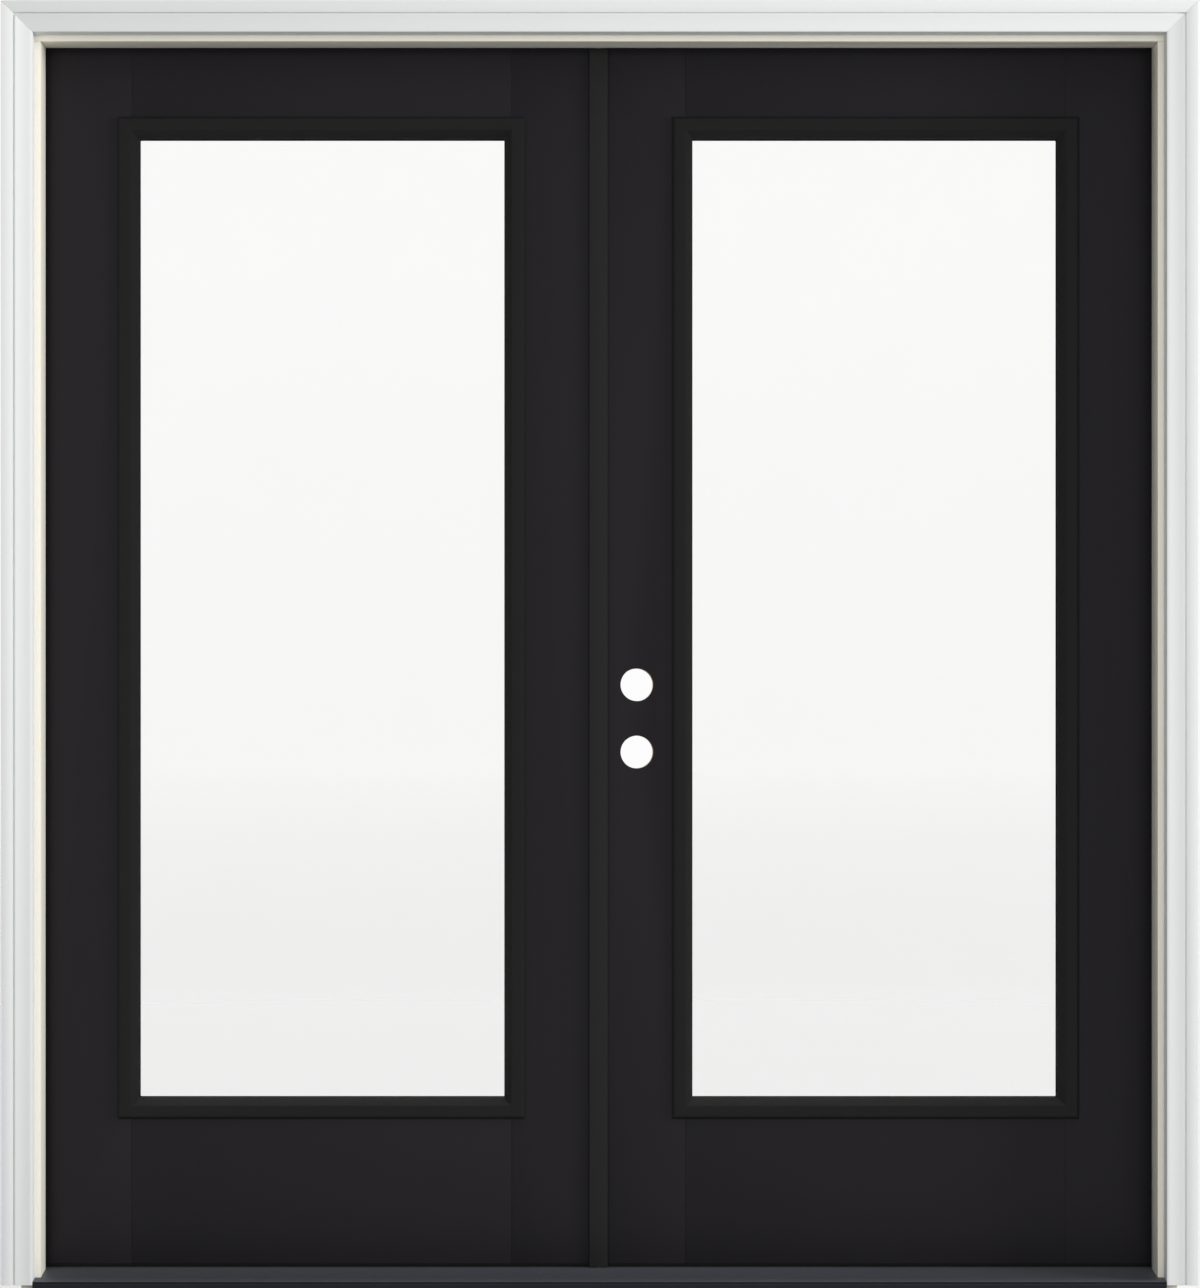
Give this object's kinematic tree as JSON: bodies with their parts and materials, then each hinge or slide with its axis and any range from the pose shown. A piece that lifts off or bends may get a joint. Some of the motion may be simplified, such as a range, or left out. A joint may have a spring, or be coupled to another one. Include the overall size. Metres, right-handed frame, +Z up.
{
  "type": "french doors",
  "caption": "Pair of inswing french doors with full glass, hung in a rabbeted frame with brickmould, a sloped sill and an astragal.",
  "frame": {"origin": "middle of the sill's underside, halfway through the jamb's depth", "axes": "+Z up, -Y towards the outside, +X towards the leaf with the lock bores"},
  "size_m": [1.936, 0.1615, 2.0912],
  "materials": {
    "cream_vinyl": "satin cream vinyl",
    "white_brickmould": "satin white",
    "black_rubber": "matte",
    "sill_substrate": "matte composite",
    "slate_aluminium": "dark anodised",
    "clear_glass": "clear polished",
    "spacer_aluminium": "mill",
    "stile_wood": "unfinished pine",
    "foam_core": "rigid foam",
    "black_paint": "satin black paint",
    "black_moulding": "satin black",
    "black_aluminium": "satin black",
    "screw_steel": "zinc plated",
    "hinge_steel": "satin nickel"
  },
  "bodies": {
    "frame": {"left_jamb": "cream_vinyl", "right_jamb": "cream_vinyl", "head_jamb": "cream_vinyl", "left_brickmould": "white_brickmould", "right_brickmould": "white_brickmould", "head_brickmould": "white_brickmould", "left_weatherstrip": "black_rubber", "right_weatherstrip": "black_rubber", "head_weatherstrip": "black_rubber", "sill_base": "sill_substrate", "sill_deck": "slate_aluminium", "threshold_cap": "slate_aluminium", "corner_pads": "black_rubber", "frame_screws": "screw_steel", "bolt_strikes": "hinge_steel", "left_frame_hinge_leaves": "hinge_steel", "right_frame_hinge_leaves": "hinge_steel", "left_hinge_pins": "hinge_steel", "right_hinge_pins": "hinge_steel", "frame_hinge_screws": "screw_steel"},
    "inactive_leaf": {"left_outer_skin": "black_paint", "left_inner_skin": "black_paint", "left_hinge_stile": "stile_wood", "left_meeting_stile": "stile_wood", "left_top_rail": "stile_wood", "left_bottom_rail": "stile_wood", "left_core": "foam_core", "left_outer_lite_frame": "black_moulding", "left_inner_lite_frame": "black_moulding", "left_outer_pane": "clear_glass", "left_inner_pane": "clear_glass", "left_glass_spacer": "spacer_aluminium", "left_door_sweep": "black_rubber", "left_door_hinge_leaves": "hinge_steel", "left_door_hinge_screws": "screw_steel", "left_lite_screws": "screw_steel", "astragal": "black_aluminium", "astragal_seal": "black_rubber", "left_edge_screws": "screw_steel", "strike_plates": "hinge_steel", "flush_bolt_plates": "hinge_steel"},
    "active_leaf": {"right_outer_skin": "black_paint", "right_inner_skin": "black_paint", "right_hinge_stile": "stile_wood", "right_lock_stile": "stile_wood", "right_top_rail": "stile_wood", "right_bottom_rail": "stile_wood", "right_core": "foam_core", "right_outer_lite_frame": "black_moulding", "right_inner_lite_frame": "black_moulding", "right_outer_pane": "clear_glass", "right_inner_pane": "clear_glass", "right_glass_spacer": "spacer_aluminium", "right_door_sweep": "black_rubber", "right_door_hinge_leaves": "hinge_steel", "right_door_hinge_screws": "screw_steel", "right_lite_screws": "screw_steel"},
    "top_flush_bolt": {"top_flush_bolt": "hinge_steel"},
    "bottom_flush_bolt": {"bottom_flush_bolt": "hinge_steel"}
  },
  "joints": [
    {"name": "active_leaf_swing", "type": "hinge", "parent": "frame", "child": "active_leaf", "pos_m": [0.9189, 0.065, 1], "axis": [0, 0, -1], "range_deg": [0, 170]},
    {"name": "inactive_leaf_swing", "type": "hinge", "parent": "frame", "child": "inactive_leaf", "pos_m": [-0.9189, 0.065, 1], "axis": [0, 0, 1], "range_deg": [0, 170]},
    {"name": "top_flush_bolt_slide", "type": "slide", "parent": "inactive_leaf", "child": "top_flush_bolt", "axis": [0, 0, 1], "range_m": [0, 0.016]},
    {"name": "bottom_flush_bolt_slide", "type": "slide", "parent": "inactive_leaf", "child": "bottom_flush_bolt", "axis": [0, 0, -1], "range_m": [0, 0.016]}
  ]
}
